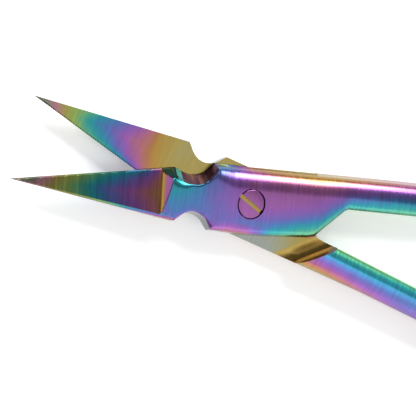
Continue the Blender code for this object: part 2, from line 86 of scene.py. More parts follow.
# Joint and shank
NOTCH_END = 5.8 * MM             # pivot axis to the end of both notches
EDGE_NOTCH_Y = 3.2 * MM          # bottom of the notch behind the heel, inner face
EDGE_NOTCH_DRAFT = 1.15 * MM
LIP_RUN = 1.0 * MM               # the outer face leaves the edge this far before the heel
SPINE_NOTCH_Y = 2.45 * MM        # bottom of the notch behind the spine, inner face
SPINE_NOTCH_DRAFT = 0.5 * MM
JOINT_OUTER = 5.2 * MM           # outer side of the joint
SHANK_OUTER = {"front": 5.5 * MM, "back": 4.5 * MM}
SHANK_INNER = {"front": 0.25 * MM, "back": 0.0 * MM}
SHANK_START = 24.0 * MM          # pivot axis to where the shank has its full width
STRAIGHT_START = 28.0 * MM       # pivot axis to where the sections stand square to the shank
SHANK_END = 3.0 * MM             # the shank ends inside the ring's wall, this far before its centre
THIN_START = 36.0 * MM           # pivot axis to where the shank starts to thin towards the ring
SHANK_THINNING = 0.9 * MM
WALL_OVERLAP = 0.3 * MM          # how far the end of the shank reaches into the ring's wall
JOINT_LOWER = 4.9 * MM           # other side of the joint
SIDE_DRAFT = 0.25 * MM
NECK_RISE = 0.25 * MM            # end of the spine's notch above the joint's lower side
CROWN = 0.25 * MM                # fall of the outer face at CROWN_HALF from its middle
CROWN_HALF = 5.0 * MM
# Rounded edges of the outer face, on the cutting edge's side and on the other: x, width, height (mm)
UPPER_ROUND = [(-14.0, 1.5, 1.1), (-12.3, 1.9, 1.15), (-10.7, 1.1, 0.7), (-9.5, 0.25, 0.18),
               (-7.6, 0.25, 0.18), (-6.5, 0.9, 0.6), (-5.4, 2.0, 1.2), (-3.0, 3.0, 1.6)]
LOWER_ROUND = [(-13.0, 1.2, 0.5), (-10.8, 0.4, 0.25), (-7.4, 0.35, 0.2), (-5.6, 1.5, 0.7),
               (-2.5, 2.4, 0.95), (12.0, 2.0, 1.0)]
BACK_ROUND = ((1.8, 1.2), (2.4, 1.8))   # shank's other face: the same, width and height (mm)
CORNER = (12.6 * MM, 3.4 * MM)   # front half: joint corner where its diagonal starts
DIAGONAL_RISE = 3.7 * MM
DIAGONAL_RUN = 3.9 * MM

# Shoulder from the joint face to the full thickness, parallel to the closed half's diagonal
SHOULDER_GAP = 0.34 * MM
GROOVE_WIDTH = 2.4 * MM
GROOVE_DEPTH = 0.18 * MM
GROOVE_FADE = 1.2 * MM           # the groove runs out over this width at the outer side

# Ring and what it carries
RING_BORE = 10.6 * MM
RING_WALL = 3.2 * MM
RING_ROUND = 1.0 * MM
RING_SPACE = 2.8 * MM            # between the two rings when the shears are closed
INSERT_WALL = 1.4 * MM
INSERT_GAP = 0.25 * MM
INSERT_ROUND = 0.6 * MM
INSERT_INSET = 0.1 * MM          # insert below the ring's faces
BUMPER_RADIUS = 1.6 * MM
BUMPER_STEM_RADIUS = 0.8 * MM
BUMPER_STEM_LENGTH = 1.3 * MM
BUMPER_SEAT = 0.12 * MM          # bumper head below the ring it is fixed in
BUMPER_ROUND = 0.5 * MM
REST_ANGLE = math.radians(-24)
REST_STEM_RADIUS = 0.75 * MM
REST_STEM_DEPTH = 1.8 * MM
REST_RADIUS = 1.45 * MM
REST_LENGTH = 17.0 * MM

# Pivot
HEAD_RADIUS = 2.1 * MM
HEAD_HEIGHT = 0.85 * MM
HEAD_SINK = 0.03 * MM            # head below the crown of the front half
SLOT_WIDTH = 0.6 * MM
SLOT_DEPTH = 0.4 * MM
SLOT_ANGLE = math.radians(-31)
SCREW_RADIUS = 1.5 * MM
HEAD_BREAK = 0.11 * MM           # broken edges of the head and of the screw's end
SCREW_END_BREAK = 0.25 * MM
GLIDE_RADIUS = 3.3 * MM
GLIDE_RECESS = 0.3 * MM
FIT_GAP = 0.28 * MM              # clearance of everything that turns or seats

FULL_DROP = HALF_THICKNESS + FACE_GAP
THICKNESS = 2 * HALF_THICKNESS + FACE_GAP
RING_RADIUS = RING_BORE + RING_WALL
RING_Y = RING_RADIUS + RING_SPACE / 2
RING_X = RING_REACH

# Sections of the fine halves
COLUMNS = 56                     # points across a face
ROW_STEP = 0.22 * MM
GROOVE_ROWS = 40
RUN_OUT_ROWS = 110
SHANK_ROWS = 60
GROOVE_LEAD = {"front": 2.6 * MM, "back": 1.2 * MM}     # where the sections start to turn, before it
JOINT_TURN = [(-1.0 * MM, -3.4 * MM), (CORNER[0] - 6.0 * MM, -1.2 * MM)]
SHANK_TURN = (4.0 * MM, 6.5 * MM)
SERRATION_PITCH = 0.4 * MM
SERRATION_DEPTH = 0.07 * MM
TOOTH = (1, 0.5, 0, 0.5)         # height of the rows that make up one tooth
TOOTH_FADE = 40                  # how sharply a tooth ends inside the edge

# Fine pieces
SEAT_GAP = 0.16 * MM             # fine gap seen round the screw head
RING_STEPS = 160
SHARP_HALF = math.radians(24)
REST_ROUTE = [(0, 0), (0.35, -0.2 * MM), (0.75, -1.8 * MM), (1, -4.6 * MM)]     # share of length, bend
REST_BALL = 1.3                  # ball end, in radii of the rest
BUMPER_BREAK = 0.2 * MM
MIDDLE = 0.5 * (HALF_THICKNESS - FULL_DROP)      # middle of a ring's thickness, half-local

# Studio
WORLD_LIGHT = 0.42
# Soft boxes: name, direction, distance, size, power
SOFT_BOXES = [
    ("overhead", (0.46, -0.48, 0.78), 0.6, (0.46, 0.68), 1.2),
    ("back_strip", (0.27, 0.80, 0.52), 0.6, (0.40, 0.22), 4.6),
    ("front_strip", (0.41, -0.88, 0.25), 0.6, (0.9, 0.32), 1.3),
    ("tip_side", (-1.0, 0.0, 0.35), 0.6, (0.9, 0.25), 0.8)]


def curve_through(points, steps=6):
    """A smooth line through the points (Catmull-Rom), as an array of rows."""
    pts = np.array(points)
    padded = np.vstack([2 * pts[0] - pts[1], pts, 2 * pts[-1] - pts[-2]])
    rows = []
    for k in range(len(pts) - 1):
        a, b, c, d = padded[k:k + 4]
        for t in np.arange(steps) / steps:
            rows.append(0.5 * (2 * b + (c - a) * t + (2 * a - 5 * b + 4 * c - d) * t ** 2
                               + (3 * b - a - 3 * c + d) * t ** 3))
    return np.vstack([rows, pts[-1]])


def notch(start, bottom, end):
    """A rounded notch: three side points, with the bottom flattened between them."""
    (x0, y0), (x1, y1), (x2, y2) = start, bottom, end
    left = (0.5 * (x0 + x1), y1 + 0.22 * (y0 - y1))
    right = (0.45 * x1 + 0.55 * x2, y1 + 0.30 * (y2 - y1))
    return curve_through([start, left, bottom, right, end])


def shoulder_normal():
    """Unit vector across the shoulder, and the distance of the closed half's diagonal along it."""
    length = math.hypot(DIAGONAL_RUN, DIAGONAL_RISE)
    across = (DIAGONAL_RISE / length, DIAGONAL_RUN / length)
    return across, across[0] * CORNER[0] + across[1] * CORNER[1]


def outlines(side):
    """Inner-face and outer-face side lines of a half, each with x rising: lower, then upper."""
    heel = (-HEEL_REACH, HEEL_RISE)
    spine = (-SPINE_REACH[side], -SPINE_DROP[side])
    tip = (-TIP_REACH, 0.0)
    end = -NOTCH_END
    mid = 0.5 * (end - HEEL_REACH)
    shank = [(0.0, JOINT_OUTER), (SHANK_START, SHANK_OUTER[side]), (RING_X - RING_BORE, SHANK_OUTER[side]),
             (RING_X - SHANK_END, RING_Y - RING_BORE - WALL_OVERLAP)]
    upper_in = np.vstack([[tip], notch(heel, (mid, EDGE_NOTCH_Y), (end, JOINT_OUTER)), shank])
    left = 1 - LIP_RUN / (TIP_REACH - HEEL_REACH)
    lip = (-HEEL_REACH - LIP_RUN, HEEL_RISE * left - BEVEL_WIDTH)
    low = (mid, EDGE_NOTCH_Y - EDGE_NOTCH_DRAFT)
    drafted = [(x, y - SIDE_DRAFT) for x, y in shank]
    upper_out = np.vstack([[tip], notch(lip, low, (end, JOINT_OUTER - SIDE_DRAFT)), drafted])

    neck = notch(spine, (mid, -SPINE_NOTCH_Y), (end, NECK_RISE - JOINT_LOWER))
    joint = [(0.0, -JOINT_LOWER), (0.33 * CORNER[0], -JOINT_LOWER + 0.1 * MM)]
    inner = SHANK_INNER[side]
    if side == "front":
        root_x = CORNER[0] + DIAGONAL_RUN
        joint += [(CORNER[0] - 2.0 * MM, -JOINT_LOWER + 0.4 * MM),
                  (CORNER[0] - 0.9 * MM, -CORNER[1] - 0.85 * MM),
                  (CORNER[0], -CORNER[1]),
                  (root_x - 0.35 * MM, DIAGONAL_RISE - CORNER[1] - 0.33 * MM),
                  (root_x + 0.25 * MM, inner + 0.02 * MM), (root_x + 1.2 * MM, inner)]
    else:
        joint += [(CORNER[0] - 4.6 * MM, -JOINT_LOWER + 0.4 * MM),
                  (CORNER[0] - 1.7 * MM, -CORNER[1] + 0.2 * MM),
                  (CORNER[0] - 0.1 * MM, -CORNER[1] + 1.8 * MM),
                  (CORNER[0] + 0.4 * MM, inner - 0.5 * MM),
                  (CORNER[0] + 1.1 * MM, inner - 0.08 * MM),
                  (CORNER[0] + 2.2 * MM, inner)]
    ring_side = RING_Y - RING_RADIUS
    joint += [(RING_X - 1.3 * RING_RADIUS, inner), (RING_X - 0.75 * RING_RADIUS, inner + 0.15 * ring_side),
              (RING_X - 0.4 * RING_RADIUS, inner + 0.5 * ring_side), (RING_X, ring_side + 0.25 * RING_WALL)]
    lower_in = np.vstack([[tip], neck, joint])
    drafted = [(x, y + SIDE_DRAFT) for x, y in joint]
    low = (mid, SPINE_NOTCH_DRAFT - SPINE_NOTCH_Y)
    neck = notch((spine[0], spine[1] + SIDE_DRAFT), low, (end, SIDE_DRAFT + NECK_RISE - JOINT_LOWER))
    lower_out = np.vstack([[tip], neck, drafted])
    return lower_in, lower_out, upper_in, upper_out


def side_at(line, x):
    return np.interp(x, line[:, 0], line[:, 1])


def stations(side, fine):
    """Where each section crosses the lower and the upper side; the sections turn to the shoulder."""
    across, closed = shoulder_normal()
    wall = closed + SHOULDER_GAP
    lower_in, _, upper_in, _ = outlines(side)
    probe = np.linspace(0, 0.4 * RING_X, 4000)
    height = across[0] * probe + across[1] * side_at(lower_in, probe)
    pairs = [(-NOTCH_END, -NOTCH_END)] + JOINT_TURN
    lowest = closed - GROOVE_WIDTH - GROOVE_LEAD[side]
    rows = np.linspace(lowest, wall - GROOVE_WIDTH, 4)[:-1]
    rows = np.concatenate([rows, wall - GROOVE_WIDTH * np.linspace(1, 0, fine + 1), [wall + 0.08 * MM]])
    for n in rows:
        outside = probe[np.argmax((height >= n) & (probe > CORNER[0] - 2.0 * MM))]
        far = 0.0
        for _ in range(4):
            far = (n - across[1] * side_at(upper_in, far)) / across[0]
        pairs.append((outside, far))
    pairs += [tuple(np.add(pairs[-1], SHANK_TURN)), (STRAIGHT_START, STRAIGHT_START)]
    return pairs


def spread(pairs, step):
    """Fill between station pairs so that no gap is longer than a step."""
    filled = [pairs[0]]
    for a, b in zip(pairs, pairs[1:]):
        count = max(1, math.ceil(max(b[0] - a[0], b[1] - a[1]) / step))
        filled += [tuple(np.add(a, np.subtract(b, a) * k / count)) for k in range(1, count + 1)]
    return filled


def distance_to(line, x, y):
    """Shortest distance in plan from each point to a side line."""
    best = np.full(np.shape(x), 1.0)
    for (ax, ay), (bx, by) in zip(line, line[1:]):
        dx, dy = bx - ax, by - ay
        t = np.clip(((x - ax) * dx + (y - ay) * dy) / max(dx * dx + dy * dy, 1e-18), 0, 1)
        best = np.minimum(best, np.hypot(x - ax - t * dx, y - ay - t * dy))
    return best


def spine_sizes(x):
    """Height of the facet's spine and of its chamfer at a place along the blade."""
    along = np.clip((x + TIP_REACH) / (TIP_REACH - HEEL_REACH), 0, 1)
    return (SPINE_HEIGHT_TIP + (SPINE_HEIGHT_HEEL - SPINE_HEIGHT_TIP) * along,
            SPINE_CHAMFER_TIP + (SPINE_CHAMFER_HEEL - SPINE_CHAMFER_TIP) * along)


def fillet(distance, width, height):
    """Height lost on an elliptical rounded edge at a distance inside it."""
    inside = np.clip(1 - distance / width, 0, 1)
    return height * (1 - np.sqrt(1 - inside ** 2))


def outer_height(side, lines, x, y):
    """Height of the outer face: crowned body, cut by the blade's ground facet and its bevels."""
    lower_in, lower_out, upper_in, upper_out = lines
    middle = 0.5 * (side_at(lower_out, x) + side_at(upper_out, x))
    lost = CROWN * ((y - middle) / CROWN_HALF) ** 2
    reach = (distance_to(lower_out, x, y), side_at(upper_out, x) - y)
    for distance, sizes in zip(reach, (LOWER_ROUND, UPPER_ROUND)):
        place, width, height = np.array(sizes).T * MM
        lost = lost + fillet(distance, np.interp(x, place, width), np.interp(x, place, height))
    body = HALF_THICKNESS - lost

    low, high = side_at(lower_in, x), side_at(upper_in, x)
    width = np.maximum(high - low, THINNEST)
    spine, chamfer = spine_sizes(x)
    past = np.maximum(x + FACET_END, 0)
    rise = np.minimum(RUN_OUT_STEEP * past, RUN_OUT_STEP + RUN_OUT_SLOPE * past)
    facet = BEVEL_HEIGHT + (spine - BEVEL_HEIGHT) * (high - y) / width + rise
    back = np.where(x < -SPINE_REACH[side], spine - chamfer + CHAMFER_SLOPE * (y - low), 1.0)
    bevel = np.where(x < -HEEL_REACH, EDGE_LAND + (high - y) * BEVEL_HEIGHT / BEVEL_WIDTH, 1.0)
    height = np.minimum(np.minimum(body, facet), np.minimum(back, bevel))
    return np.maximum(height, EDGE_LAND)


def inner_height(lines, x, y):
    """Height of the inner face: flat joint, groove, then the shoulder to the full thickness."""
    across, closed = shoulder_normal()
    n = across[0] * x + across[1] * y
    wall = closed + SHOULDER_GAP
    dip = np.clip((n - wall + GROOVE_WIDTH) / GROOVE_WIDTH, 0, 1)
    fade = np.clip((side_at(lines[2], x) - y) / GROOVE_FADE, 0, 1)
    groove = GROOVE_DEPTH * np.sin(math.pi * dip ** 1.3) * fade
    full = -FULL_DROP
    for line, (width, height) in zip((lines[0], lines[2]), BACK_ROUND):
        full = full + fillet(distance_to(line, x, y), width * MM, height * MM)
    return np.where(n > wall + 0.04 * MM, full, np.where(n < 0, 0.0, groove))


def loft(name, rings):
    count = len(rings[0])
    verts = np.vstack(rings)
    faces = []
    for k in range(len(rings) - 1):
        for j in range(count):
            a, b = k * count + j, k * count + (j + 1) % count
            faces.append((a, a + count, b + count, b))
    faces.append(tuple(range(count)))
    faces.append(tuple(reversed(range(len(verts) - count, len(verts)))))
    mesh = bpy.data.meshes.new(name)
    mesh.from_pydata(verts.tolist(), [], faces)
    form = bmesh.new()
    form.from_mesh(mesh)
    bmesh.ops.recalc_face_normals(form, faces=form.faces)
    form.to_mesh(mesh)
    form.free()
    return mesh


def rounded_profile(inner, outer, low, high, radius, arc=3):
    """A closed ring profile with rounded corners, down the outer side and up the inner one."""
    turns = [(outer - radius, high - radius, 90), (outer - radius, low + radius, 0),
             (inner + radius, low + radius, -90), (inner + radius, high - radius, -180)]
    points = []
    for cx, cz, start in turns:
        for k in range(arc + 1):
            angle = math.radians(start - 90 * k / arc)
            points.append((cx + radius * math.cos(angle), cz + radius * math.sin(angle)))
    return points


COAT_LEVEL = 0.74
BRUSH_LENGTH = (1 / 300, 1 / 22, 1 / 22)     # size of the brushed grain, in metres per noise unit
FILM_WANDER = 0.05               # how far the grain and the clouds move the film phase
OIL = 0.6                        # thin film of oil over the coat

# Coat colours in the order in which the film thickens, as (film phase, colour on screen)
COAT = [
    (-0.22, (142, 154, 164)), (-0.10, (146, 148, 118)), (0.0, (160, 143, 70)), (0.08, (170, 130, 44)),
    (0.14, (166, 108, 66)), (0.20, (168, 97, 104)), (0.27, (156, 85, 140)), (0.34, (136, 78, 164)),
    (0.42, (102, 88, 168)), (0.48, (64, 106, 170)), (0.54, (22, 128, 160)), (0.60, (12, 146, 146)),
    (0.68, (84, 162, 116)), (0.76, (142, 166, 74)), (0.82, (160, 143, 72)), (0.88, (180, 118, 136)),
    (0.95, (112, 128, 104)), (1.02, (150, 128, 110))]

# Film phase over each face: for each place along a half (mm from the pivot), (share across, phase) pairs.
# The share runs from the spine or inner side (0) to the cutting edge or outer side (1).
OUTER_FILM = {
    -36.4: [(0, .95), (1, .98)], -34.5: [(0, .9), (.5, .98), (1, 1.0)],
    -32.0: [(0, .85), (.5, .88), (1, .92)], -30.8: [(0, .8), (.5, .85), (1, .88)],
    -29.5: [(0, .77), (.5, .80), (1, .82)], -27.0: [(0, .72), (.5, .70), (1, .78)],
    -25.8: [(0, .68), (.5, .64), (1, .74)], -24.5: [(0, .62), (.5, .57), (1, .70)],
    -23.3: [(0, .55), (.5, .50), (1, .67)], -22.0: [(0, .50), (.5, .45), (.8, .54), (1, .65)],
    -20.8: [(0, .47), (.5, .40), (.8, .50), (1, .62)], -19.5: [(0, .43), (.5, .35), (.8, .48), (1, .61)],
    -18.3: [(0, .38), (.5, .29), (.8, .42), (1, .58)], -17.0: [(0, .33), (.5, .23), (.8, .38), (1, .56)],
    -15.8: [(0, .28), (.5, .19), (.8, .31), (1, .48)], -14.6: [(0, .22), (.5, .13), (.8, .22), (1, .36)],
    -14.1: [(0, .17), (.5, .10), (.8, .14), (1, .2)],
    -14.0: [(0, .25), (.15, .4), (.5, .48), (.85, .58), (1, .66)],
    -12.5: [(0, .27), (.15, .47), (.5, .54), (.85, .62), (1, .66)],
    -9.0: [(0, .27), (.15, .46), (.5, .51), (.85, .55), (1, .62)],
    -6.5: [(0, .27), (.15, .44), (.5, .44), (.85, .45), (1, .55)],
    -3.0: [(0, .15), (.08, .27), (.2, .42), (.5, .36), (.8, .36), (.92, .42), (1, .5)],
    0.0: [(0, .12), (.08, .30), (.2, .46), (.35, .37), (.55, .32), (.8, .29), (.92, .3), (1, .12)],
    4.0: [(0, .64), (.08, .59), (.2, .48), (.3, .40), (.45, .32), (.6, .31), (.8, .29), (.9, .22),
          (1, .04)],
    8.0: [(0, .74), (.1, .64), (.22, .55), (.35, .41), (.5, .32), (.8, .28), (.9, .15), (1, .02)],
    12.0: [(0, .76), (.15, .65), (.3, .52), (.45, .39), (.6, .32), (.8, .26), (.9, .12), (1, .02)],
    16.0: [(0, .68), (.15, .61), (.35, .48), (.5, .39), (.65, .31), (.8, .24), (.9, .12), (1, .04)],
    26.0: [(0, .70), (.15, .65), (.35, .57), (.55, .46), (.7, .37), (.82, .29), (.92, .22), (1, .15)],
    60.0: [(0, .66), (.5, .50), (1, .3)]}
INNER_FILM = {
    -36.4: [(0, .98), (1, 1.0)], -35.2: [(0, .96), (1, 1.0)], -34.0: [(0, .92), (1, .96)],
    -32.7: [(0, .86), (1, .90)], -31.4: [(0, .80), (1, .83)], -30.2: [(0, .75), (1, .79)],
    -28.9: [(0, .72), (.5, .70), (1, .76)], -27.6: [(0, .66), (.4, .60), (1, .70)],
    -26.4: [(0, .60), (.35, .53), (.8, .62), (1, .70)], -25.1: [(0, .55), (.35, .49), (.8, .58), (1, .68)],
    -23.9: [(0, .51), (.35, .44), (.8, .54), (1, .66)], -22.6: [(0, .46), (.4, .37), (.8, .48), (1, .63)],
    -21.3: [(0, .39), (.4, .30), (.8, .42), (1, .60)], -20.1: [(0, .33), (.4, .24), (.8, .34), (1, .54)],
    -18.8: [(0, .25), (.4, .20), (.8, .28), (1, .46)], -17.6: [(0, .18), (.5, .14), (.8, .22), (1, .34)],
    -16.3: [(0, .06), (.5, .08), (.8, .13), (1, .2)], -15.0: [(0, .02), (.5, .04), (1, .10)],
    -13.0: [(0, -.03), (.5, .0), (1, .05)], -8.0: [(0, 0.0), (1, .03)], -4.0: [(0, .0), (1, -.02)],
    2.0: [(0, -.1), (.5, -.12), (1, -.17)], 7.0: [(0, -.04), (.5, -.08), (1, -.16)],
    9.5: [(0, .03), (.5, -.01), (1, -.08)], 12.0: [(0, .06), (.5, .04), (1, .0)],
    16.0: [(0, .72), (.15, .64), (.35, .54), (.55, .42), (.75, .27), (.9, .12), (1, .0)],
    24.0: [(0, .73), (.2, .61), (.4, .53), (.6, .46), (.8, .35), (1, .2)],
    32.0: [(0, .7), (.2, .58), (.45, .51), (.7, .45), (1, .38)],
    60.0: [(0, .60), (.5, .46), (1, .3)]}

# The spine chamfer: places (mm from the pivot), phase at its rim, phase at its crease with the facet
SPINE_FILM = ([-36, -30, -24.5, -21.5, -18.4, -15.4, -12], [.9, .84, .80, .72, .46, .24, .06],
              [.9, .82, .76, .68, .60, .56, .50])
# The ramp behind the facet: places (mm past the facet's end), phase
RUN_OUT_FILM = ([0, 0.25, 0.5, 1.6], [0.07, 0.05, 0.24, 0.38])
EDGE_NOTCH_FILM = 0.24
SPINE_NOTCH_FILM = -0.17
COVE_FILM = (0.02, 0.08)         # phase at the two sides of the groove
RING_FILM = (0.40, 0.22, 0.10)   # mean phase of a ring, its swing round it and across its wall
RING_FILM_TURN = 0.8

# Painted shade and painted light on each part of a half, as a factor on the coat's colour (below 1 shade,
# above 1 light)
# Painted shade on the wall of the notch behind the heel, a recess between the halves
EDGE_NOTCH_SHADE = 0.2
# Painted shade on the cutting edge's bevel, painting out the highlight along it
BEVEL_SHADE = 0.10
# Painted shade on the lip of the notch behind the heel, dimming its highlight line
LIP_SHADE = 0.4
# Painted shade over the ground facet
FACET_SHADE = 0.84
# Painted light on the groove's first part, then painted shade darkening towards the shoulder's wall
COVE_PAINTED_SHADE_AND_LIGHT = ([-1, -0.7, -0.4, -0.04], [1, 1.3, 0.55, 0.4])      # place across the groove, shade
# Painted shade on the spine chamfer, darker towards the tip
SPINE_SHADE = ([-26, -18], [0.62, 0.92])                         # place along (mm), shade
# Painted light on the far face of the shank, brightest near its inner side
SHANK_PAINTED_LIGHT = ([0, 0.1, 0.35, 0.6], [2.2, 2.9, 2.1, 1.1])        # share across the joint's side, shade
# Painted shade along the serrated edge, darker and lighter tooth by tooth
TEETH_SHADE = (0.45, 0.25)       # mean and swing along the serrated edge
TEETH_BAND = 0.22 * MM
LIP_BAND = 0.35 * MM


def film_at(table, x, share):
    """Film phase at each place, read across and then along the table."""
    places = sorted(table)
    rows = np.array([np.interp(share, *zip(*table[p])) for p in places])
    spot = np.interp(x / MM, places, np.arange(len(places)))
    low = np.clip(spot.astype(int), 0, len(places) - 2)
    part = spot - low
    pick = np.arange(len(x))
    return rows[low, pick] * (1 - part) + rows[low + 1, pick] * part


def linear(colour):
    """A colour as seen on screen (0 to 255) in the renderer's linear values."""
    return [((c / 255 + 0.055) / 1.055) ** 2.4 if c > 10 else c / 255 / 12.92 for c in colour]


def corner_arrays(mesh):
    """Place, face normal and shading normal at every face corner of a mesh."""
    facing = np.empty(3 * len(mesh.polygons))
    mesh.polygons.foreach_get("normal", facing)
    sizes = np.empty(len(mesh.polygons), dtype=np.int32)
    mesh.polygons.foreach_get("loop_total", sizes)
    corner = np.empty(len(mesh.loops), dtype=np.int32)
    mesh.loops.foreach_get("vertex_index", corner)
    points = np.empty(3 * len(mesh.vertices))
    mesh.vertices.foreach_get("co", points)
    normals = np.empty(3 * len(mesh.loops))
    mesh.corner_normals.foreach_get("vector", normals)
    facing = np.repeat(facing.reshape(-1, 3), sizes, axis=0)
    return points.reshape(-1, 3)[corner], facing, normals.reshape(-1, 3)


def coat_half(side, mesh):
    """Store film phase and painted shade and light on every face corner of a half, from its place and the
    way it faces.
    """
    place, facing, normals = corner_arrays(mesh)
    x, y = place[:, 0], place[:, 1]
    lines = outlines(side)
    low, high = side_at(lines[0], x), side_at(lines[2], x)
    share = np.clip((y - low) / np.maximum(high - low, THINNEST), 0, 1)
    across, closed = shoulder_normal()
    n = across[0] * x + across[1] * y - closed - SHOULDER_GAP

    on_spine = (x < -SPINE_REACH[side]) & (normals[:, 1] < -0.45) & (normals[:, 2] > 0.2)
    notch_wall = (np.abs(facing[:, 2]) < 0.74) & (x > 0.9 * MM - HEEL_REACH) & (x < -NOTCH_END)
    cove = (facing[:, 2] < 0) & (n > -GROOVE_WIDTH) & (n < 0.1 * MM)
    run_out = (facing[:, 0] < -0.3) & (facing[:, 2] > 0.1) & (x < 2.4 * MM - FACET_END)
    bevel = (facing[:, 1] > 0.5) & (facing[:, 2] > -0.2) & (x < -HEEL_REACH)
    facet = (facing[:, 2] > 0.3) & (x < 0.01 * MM - FACET_END) & ~on_spine & ~run_out
    in_notch = (x > -10.6 * MM) & (x < -6.6 * MM)
    lip = (np.abs(side_at(lines[3], x) - y) < LIP_BAND) & in_notch & (facing[:, 2] > 0.74)
    far_face = (facing[:, 2] < -0.2) & (n > 0.1 * MM)
    serrated = (facing[:, 2] < -0.3) & (x < -HEEL_REACH) & (high - y < TEETH_BAND)

    outer = film_at(OUTER_FILM, x, share)
    inner = film_at(INNER_FILM, np.where(n > 0, np.maximum(x, 16 * MM), x), share)
    phase = np.where(normals[:, 2] >= -0.05, outer, inner)
    band = np.clip((y - low) / spine_sizes(x)[1], 0, 1) ** 1.5
    rim, crease = np.interp(x / MM, *SPINE_FILM[:2]), np.interp(x / MM, *SPINE_FILM[::2])
    phase = np.where(on_spine, rim + (crease - rim) * band, phase)
    phase = np.where(notch_wall & (y > 0), EDGE_NOTCH_FILM, phase)
    phase = np.where(notch_wall & (y < 0), SPINE_NOTCH_FILM, phase)
    down = COVE_FILM[0] + (COVE_FILM[1] - COVE_FILM[0]) * np.clip(1 + n / GROOVE_WIDTH, 0, 1)
    phase = np.where(cove, down, phase)
    ring = np.hypot(x - RING_X, y - RING_Y)
    turn = np.arctan2(y - RING_Y, x - RING_X) + RING_FILM_TURN
    around = RING_FILM[0] + RING_FILM[1] * np.cos(turn) + RING_FILM[2] * (ring - RING_BORE) / RING_WALL
    blend = np.clip((x - 0.75 * RING_X) / (0.15 * RING_X), 0, 1) * (ring < RING_RADIUS + 0.3 * MM)
    phase = phase * (1 - blend) + around * blend
    phase = np.where(run_out, np.interp((x + FACET_END) / MM, *RUN_OUT_FILM), phase)
    store(mesh, "film", phase)

    # Painted shade on the wall of the notch behind the heel
    shade = np.where(notch_wall & (y > 0), EDGE_NOTCH_SHADE, 1.0)
    # Painted shade on the cutting edge's bevel, painting out its highlight
    shade = np.where(bevel, BEVEL_SHADE, shade)
    # Painted shade on the notch's lip, dimming its highlight line
    shade = np.where(lip, LIP_SHADE, shade)
    # Painted shade and painted light across the groove
    shade = np.where(cove, np.interp(n / GROOVE_WIDTH, *COVE_PAINTED_SHADE_AND_LIGHT), shade)
    # Painted shade over the ground facet
    shade = np.where(facet, FACET_SHADE, shade)
    # Painted shade on the spine chamfer
    shade = np.where(on_spine, np.interp(x / MM, *SPINE_SHADE), shade)
    # Painted light on the far face of the shank
    shade = np.where(far_face, np.interp(share, *SHANK_PAINTED_LIGHT), shade)
    # Painted shade along the serrated edge, swinging with each tooth
    teeth = TEETH_SHADE[0] + TEETH_SHADE[1] * np.cos(2 * math.pi * (x + TIP_REACH) / SERRATION_PITCH)
    store(mesh, "shade", np.where(serrated, teeth, shade))


def store(mesh, name, values):
    layer = mesh.attributes.new(name, "FLOAT", "CORNER")
    layer.data.foreach_set("value", np.asarray(values, dtype=np.float32))


def node(tree, kind, **values):
    """Add a node. Values with capital letters set its sockets, the others its properties."""
    made = tree.nodes.new(kind)
    for key, value in values.items():
        if key[0].isupper():
            feed(tree, made.inputs[key.replace("_", " ")], value)
        else:
            setattr(made, key, value)
    return made


def feed(tree, socket, value):
    """Link a socket to an output, or set its constant."""
    if isinstance(value, bpy.types.NodeSocket):
        tree.links.new(value, socket)
    else:
        socket.default_value = value


def maths(tree, operation, *values, **settings):
    """A maths node's result."""
    made = node(tree, "ShaderNodeMath", operation=operation, **settings)
    for socket, value in zip(made.inputs, values):
        feed(tree, socket, value)
    return made.outputs[0]


def noise(tree, vector, scale, detail):
    made = node(tree, "ShaderNodeTexNoise", Vector=vector, Scale=scale, Detail=detail)
    return made.outputs["Fac"]


def ranged(tree, value, low, high, start=0.0, end=1.0):
    """Map a value from start to end onto low to high."""
    made = node(tree, "ShaderNodeMapRange", Value=value, From_Min=start, From_Max=end,
                To_Min=low, To_Max=high)
    return made.outputs["Result"]


def relief(tree, height, strength, distance):
    made = node(tree, "ShaderNodeBump", Height=height, Strength=strength, Distance=distance)
    return made.outputs[0]


def new_material(name):
    mat = bpy.data.materials.new(name)
    mat.use_nodes = True
    return mat, mat.node_tree, mat.node_tree.nodes["Principled BSDF"]


def coat_colour(tree, phase):
    """The coat's colour at a film phase."""
    ramp = node(tree, "ShaderNodeValToRGB")
    low, high = COAT[0][0], COAT[-1][0]
    stops = ramp.color_ramp.elements
    while len(stops) < len(COAT):
        stops.new(0.5)
    for stop, (place, colour) in zip(stops, COAT):
        stop.position = (place - low) / (high - low)
        stop.color = (*[COAT_LEVEL * c for c in linear(colour)], 1)
    feed(tree, ramp.inputs["Fac"], ranged(tree, phase, 0.0, 1.0, low, high))
    return ramp.outputs["Color"]


